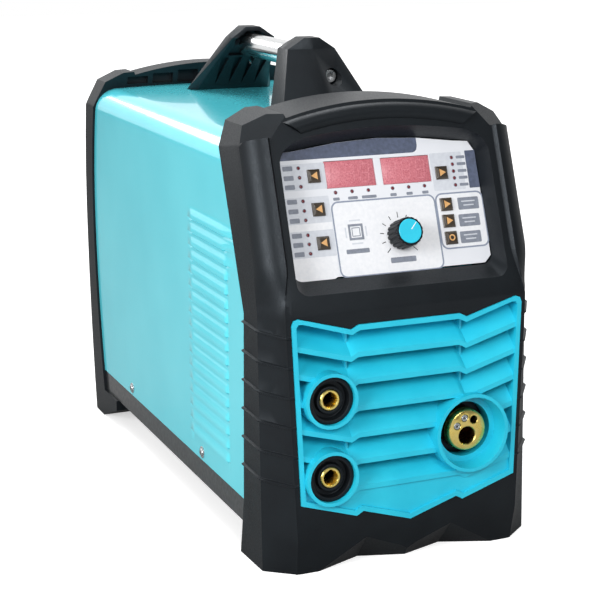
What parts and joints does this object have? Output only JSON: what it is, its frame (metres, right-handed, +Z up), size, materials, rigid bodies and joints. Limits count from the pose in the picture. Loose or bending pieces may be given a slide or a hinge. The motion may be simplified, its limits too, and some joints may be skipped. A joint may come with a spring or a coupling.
{
  "type": "mig welding machine",
  "caption": "Portable wire-feed welding machine with moulded end bezels, louvred grille with round sockets, leaning control panel, carrying handle and hinged side door",
  "frame": {"origin": "centre of the bounding box on the floor plane", "axes": "+Z up, +Y from the front grille to the rear, +X to the right seen from the front"},
  "size_m": [0.244, 0.4962, 0.4003],
  "materials": {
    "black_moulding": "fine spark-eroded satin texture",
    "cyan_moulding": "satin moulded plastic",
    "cyan_paint": "gloss powder coat on steel sheet",
    "black_coat": "black powder coat on steel sheet",
    "brass": "turned brass",
    "panel_foil": "printed polyester foil, bare",
    "red_window": "red filter window",
    "board": "green solder mask",
    "bright_tube": "polished tube",
    "zinc_steel": "zinc plated steel",
    "aluminium": "extruded and cast aluminium",
    "copper": "lacquered copper winding"
  },
  "bodies": {
    "machine": {"front_bezel": "black_moulding", "grille": "cyan_moulding", "socket_upper_body": "black_moulding", "socket_upper_contact": "brass", "socket_lower_body": "black_moulding", "socket_lower_contact": "brass", "euro_seat": "black_moulding", "euro_connector": "brass", "control_contact_1": "zinc_steel", "control_contact_2": "zinc_steel", "control_panel": "panel_foil", "control_board": "board", "display_left": "red_window", "display_right": "red_window", "encoder": "zinc_steel", "cover": "cyan_paint", "chassis": "black_coat", "hinge_lower": "zinc_steel", "hinge_upper": "zinc_steel", "rear_bezel": "black_moulding", "rear_panel": "black_coat", "fan_frame": "black_coat", "switch_frame": "black_moulding", "gas_inlet": "brass", "mains_gland": "black_moulding", "handle_post_front": "black_moulding", "handle_post_rear": "black_moulding", "handle_tube": "bright_tube", "handle_bolt_front": "zinc_steel", "handle_bolt_rear": "zinc_steel", "partition": "zinc_steel", "spool_axle": "zinc_steel", "brake_nut": "black_moulding", "feed_plate": "aluminium", "feed_motor": "black_coat", "wire_guide_in": "brass", "wire_guide_out": "brass", "power_board": "board", "heatsink": "aluminium", "transformer": "black_coat", "output_choke": "copper"},
    "push_button_1": {"button_1": "black_moulding"},
    "push_button_2": {"button_2": "black_moulding"},
    "push_button_3": {"button_3": "black_moulding"},
    "push_button_4": {"button_4": "black_moulding"},
    "push_button_5": {"button_5": "black_moulding"},
    "push_button_6": {"button_6": "black_moulding"},
    "push_button_7": {"button_7": "black_moulding"},
    "dial": {"knob": "black_moulding", "knob_cap": "cyan_moulding"},
    "door": {"side_door": "cyan_paint"},
    "latch_low": {"latch_lower": "zinc_steel"},
    "latch_high": {"latch_upper": "zinc_steel"},
    "fan": {"fan_rotor": "black_moulding"},
    "mains_rocker": {"rocker": "black_moulding"},
    "spool_hub_body": {"spool_hub": "black_moulding"},
    "drive": {"drive_roll": "zinc_steel"},
    "arm": {"pressure_arm": "aluminium"},
    "idler": {"idler_roll": "zinc_steel"},
    "tension": {"tension_knob": "black_moulding"}
  },
  "joints": [
    {"name": "button_1_press", "type": "slide", "parent": "machine", "child": "push_button_1", "axis": [0, 0.9332, -0.3593], "range_m": [0, 0.0006], "stiffness_N_per_m": 400},
    {"name": "button_2_press", "type": "slide", "parent": "machine", "child": "push_button_2", "axis": [0, 0.9332, -0.3593], "range_m": [0, 0.0006], "stiffness_N_per_m": 400},
    {"name": "button_3_press", "type": "slide", "parent": "machine", "child": "push_button_3", "axis": [0, 0.9332, -0.3593], "range_m": [0, 0.0006], "stiffness_N_per_m": 400},
    {"name": "button_4_press", "type": "slide", "parent": "machine", "child": "push_button_4", "axis": [0, 0.9332, -0.3593], "range_m": [0, 0.0006], "stiffness_N_per_m": 400},
    {"name": "button_5_press", "type": "slide", "parent": "machine", "child": "push_button_5", "axis": [0, 0.9332, -0.3593], "range_m": [0, 0.0006], "stiffness_N_per_m": 400},
    {"name": "button_6_press", "type": "slide", "parent": "machine", "child": "push_button_6", "axis": [0, 0.9332, -0.3593], "range_m": [0, 0.0006], "stiffness_N_per_m": 400},
    {"name": "button_7_press", "type": "slide", "parent": "machine", "child": "push_button_7", "axis": [0, 0.9332, -0.3593], "range_m": [0, 0.0006], "stiffness_N_per_m": 400},
    {"name": "knob_turn", "type": "hinge", "parent": "machine", "child": "dial", "pos_m": [0.0095, -0.19946, 0.25665], "axis": [0, -0.9332, 0.3593], "continuous": true},
    {"name": "door_swing", "type": "hinge", "parent": "machine", "child": "door", "pos_m": [0.1198, 0.17922, 0.186], "axis": [0, 0, 1], "range_deg": [0, 110]},
    {"name": "latch_low_turn", "type": "hinge", "parent": "door", "child": "latch_low", "pos_m": [0.1198, -0.14602, 0.125], "axis": [1, 0, 0], "range_deg": [0, 90]},
    {"name": "latch_high_turn", "type": "hinge", "parent": "door", "child": "latch_high", "pos_m": [0.1198, -0.14602, 0.225], "axis": [1, 0, 0], "range_deg": [0, 90]},
    {"name": "fan_spin", "type": "hinge", "parent": "machine", "child": "fan", "pos_m": [-0.035, 0.21982, 0.115], "axis": [0, 1, 0], "continuous": true},
    {"name": "rocker_tip", "type": "hinge", "parent": "machine", "child": "mains_rocker", "pos_m": [0.058, 0.23312, 0.27], "axis": [1, 0, 0], "range_deg": [0, 16]},
    {"name": "spool_spin", "type": "hinge", "parent": "machine", "child": "spool_hub_body", "pos_m": [0.04, 0.07002, 0.19], "axis": [1, 0, 0], "continuous": true},
    {"name": "drive_spin", "type": "hinge", "parent": "machine", "child": "drive", "pos_m": [0.054, -0.10502, 0.0841], "axis": [1, 0, 0], "continuous": true},
    {"name": "arm_lift", "type": "hinge", "parent": "machine", "child": "arm", "pos_m": [0.0465, -0.13502, 0.1235], "axis": [1, 0, 0], "range_deg": [0, 55]},
    {"name": "idler_spin", "type": "hinge", "parent": "arm", "child": "idler", "pos_m": [0.054, -0.10502, 0.1109], "axis": [1, 0, 0], "continuous": true},
    {"name": "tension_turn", "type": "hinge", "parent": "arm", "child": "tension", "pos_m": [0.0528, -0.07802, 0.1324], "axis": [0, 0, 1], "range_deg": [0, 360]}
  ],
  "couplings": [
    {"joint": "idler_spin", "follows": "drive_spin", "ratio": -1.3636}
  ]
}
